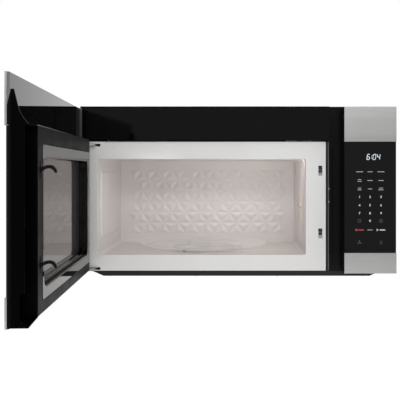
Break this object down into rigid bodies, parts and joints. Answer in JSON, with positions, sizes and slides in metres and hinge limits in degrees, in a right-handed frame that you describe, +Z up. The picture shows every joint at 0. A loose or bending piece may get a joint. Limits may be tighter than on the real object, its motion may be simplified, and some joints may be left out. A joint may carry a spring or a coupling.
{
  "type": "over the range microwave oven",
  "caption": "Wall-hung microwave oven with a side-hinged door standing open, a white cavity with a glass turntable, and a flat control panel.",
  "frame": {"origin": "on the wall, at the middle of the back face of the wall mounting plate", "axes": "+Y into the wall, +Z up, +X to the right of someone facing the oven"},
  "size_m": [0.7677, 1.0183, 0.437],
  "materials": {
    "galvanised_steel": "satin zinc",
    "black_paint": "semi-gloss paint",
    "white_enamel": "glossy baked enamel",
    "stainless": "fine horizontal brushing",
    "black_glass": "opaque black glass, polished",
    "gloss_black": "polished",
    "black_plastic": "fine texture",
    "grey_plastic": "satin",
    "clear_glass": "clear pressed glass",
    "aluminium": "mill finish",
    "copper_winding": "varnished winding on laminated steel",
    "brass_fitting": "satin",
    "mica": "pressed mica sheet",
    "circuit_board": "solder mask",
    "charcoal": "matt",
    "dark_mesh": "perforated sheet"
  },
  "bodies": {
    "cabinet": {"wall_mounting_plate": "galvanised_steel", "rear_panel": "galvanised_steel", "case_wrap": "black_paint", "base_pan": "black_paint", "front_frame": "white_enamel", "cavity_liner": "white_enamel", "cavity_back_wall": "white_enamel", "bay_partition": "galvanised_steel", "waveguide_cover": "mica", "bay_floor": "galvanised_steel", "vent_grille": "gloss_black", "control_housing": "gloss_black", "control_top_strip": "stainless", "control_bottom_strip": "stainless", "control_glass": "black_glass", "clock_display": "black_plastic", "control_board": "circuit_board", "hinge_plate_upper": "galvanised_steel", "hinge_plate_lower": "galvanised_steel", "hinge_bush": "grey_plastic", "latch_board": "grey_plastic", "interlock_switch_upper": "grey_plastic", "interlock_switch_lower": "grey_plastic", "turntable_motor": "galvanised_steel", "waveguide": "galvanised_steel", "magnetron": "aluminium", "transformer": "copper_winding", "capacitor": "aluminium", "diode": "charcoal", "cooling_fan_motor": "galvanised_steel", "cavity_lamp": "brass_fitting", "blower_motor": "galvanised_steel", "blower_housing_left": "galvanised_steel", "blower_housing_right": "galvanised_steel", "exhaust_adaptor": "galvanised_steel", "charcoal_filter": "charcoal", "cooktop_lamp": "brass_fitting"},
    "door": {"door_top_strip": "stainless", "door_bottom_strip": "stainless", "door_glass": "black_glass", "door_frame": "black_plastic", "door_screen": "dark_mesh", "door_inner_panel": "gloss_black", "latch_spring": "galvanised_steel"},
    "latch": {"door_latch": "black_plastic"},
    "plunger_upper": {"switch_plunger_upper": "charcoal"},
    "plunger_lower": {"switch_plunger_lower": "charcoal"},
    "coupler": {"turntable_coupler": "grey_plastic"},
    "tray": {"turntable_tray": "clear_glass"},
    "roller_ring": {"roller_ring": "grey_plastic"},
    "roller_1": {"roller_1": "grey_plastic"},
    "roller_2": {"roller_2": "grey_plastic"},
    "roller_3": {"roller_3": "grey_plastic"},
    "fan": {"cooling_fan": "grey_plastic"},
    "blower_rotor": {"blower_wheel_left": "grey_plastic", "blower_wheel_right": "grey_plastic"},
    "damper": {"exhaust_damper": "galvanised_steel"},
    "filter_left": {"grease_filter_left": "aluminium"},
    "filter_right": {"grease_filter_right": "aluminium"},
    "lamp_cover": {"lamp_cover": "clear_glass"}
  },
  "joints": [
    {"name": "door_hinge", "type": "hinge", "parent": "cabinet", "child": "door", "pos_m": [-0.3655, -0.398, 0], "axis": [0, 0, 1], "range_deg": [-18, 87]},
    {"name": "latch_slide", "type": "slide", "parent": "door", "child": "latch", "axis": [0, 0, 1], "range_m": [0, 0.003], "stiffness_N_per_m": 300, "springref_m": -0.004, "deforming": ["latch_spring"]},
    {"name": "plunger_upper_travel", "type": "slide", "parent": "cabinet", "child": "plunger_upper", "axis": [0, 1, 0], "range_m": [0, 0.002], "stiffness_N_per_m": 200, "springref_m": -0.002},
    {"name": "plunger_lower_travel", "type": "slide", "parent": "cabinet", "child": "plunger_lower", "axis": [0, 1, 0], "range_m": [0, 0.002], "stiffness_N_per_m": 200, "springref_m": -0.002},
    {"name": "tray_spin", "type": "hinge", "parent": "cabinet", "child": "tray", "pos_m": [-0.0855, -0.198, -0.1654], "axis": [0, 0, 1], "continuous": true},
    {"name": "coupler_spin", "type": "hinge", "parent": "cabinet", "child": "coupler", "pos_m": [-0.0855, -0.198, -0.1654], "axis": [0, 0, 1], "continuous": true},
    {"name": "roller_ring_spin", "type": "hinge", "parent": "cabinet", "child": "roller_ring", "pos_m": [-0.0855, -0.198, -0.1654], "axis": [0, 0, 1], "continuous": true},
    {"name": "roller_1_spin", "type": "hinge", "parent": "roller_ring", "child": "roller_1", "pos_m": [0.0095, -0.198, -0.1596], "axis": [1, 0, 0], "continuous": true},
    {"name": "roller_2_spin", "type": "hinge", "parent": "roller_ring", "child": "roller_2", "pos_m": [-0.133, -0.11573, -0.1596], "axis": [-0.5, 0.866, 0], "continuous": true},
    {"name": "roller_3_spin", "type": "hinge", "parent": "roller_ring", "child": "roller_3", "pos_m": [-0.133, -0.28027, -0.1596], "axis": [-0.5, -0.866, 0], "continuous": true},
    {"name": "cooling_fan_spin", "type": "hinge", "parent": "cabinet", "child": "fan", "pos_m": [0.3, -0.06, 0.001], "axis": [0, 1, 0], "continuous": true},
    {"name": "blower_spin", "type": "hinge", "parent": "cabinet", "child": "blower_rotor", "pos_m": [0, -0.092, 0.135], "axis": [1, 0, 0], "continuous": true},
    {"name": "damper_hinge", "type": "hinge", "parent": "cabinet", "child": "damper", "pos_m": [0, -0.0745, 0.207], "axis": [-1, 0, 0], "range_deg": [0, 75]},
    {"name": "filter_left_drop", "type": "slide", "parent": "cabinet", "child": "filter_left", "axis": [0, 0, -1], "range_m": [0, 0.08]},
    {"name": "filter_right_drop", "type": "slide", "parent": "cabinet", "child": "filter_right", "axis": [0, 0, -1], "range_m": [0, 0.08]},
    {"name": "lamp_cover_hinge", "type": "hinge", "parent": "cabinet", "child": "lamp_cover", "pos_m": [0, -0.2934, -0.2106], "axis": [1, 0, 0], "range_deg": [0, 85]}
  ],
  "couplings": [
    {"joint": "coupler_spin", "follows": "tray_spin", "ratio": 1},
    {"joint": "roller_ring_spin", "follows": "tray_spin", "ratio": 0.5},
    {"joint": "roller_1_spin", "follows": "tray_spin", "ratio": -8.6364},
    {"joint": "roller_2_spin", "follows": "tray_spin", "ratio": -8.6364},
    {"joint": "roller_3_spin", "follows": "tray_spin", "ratio": -8.6364}
  ]
}
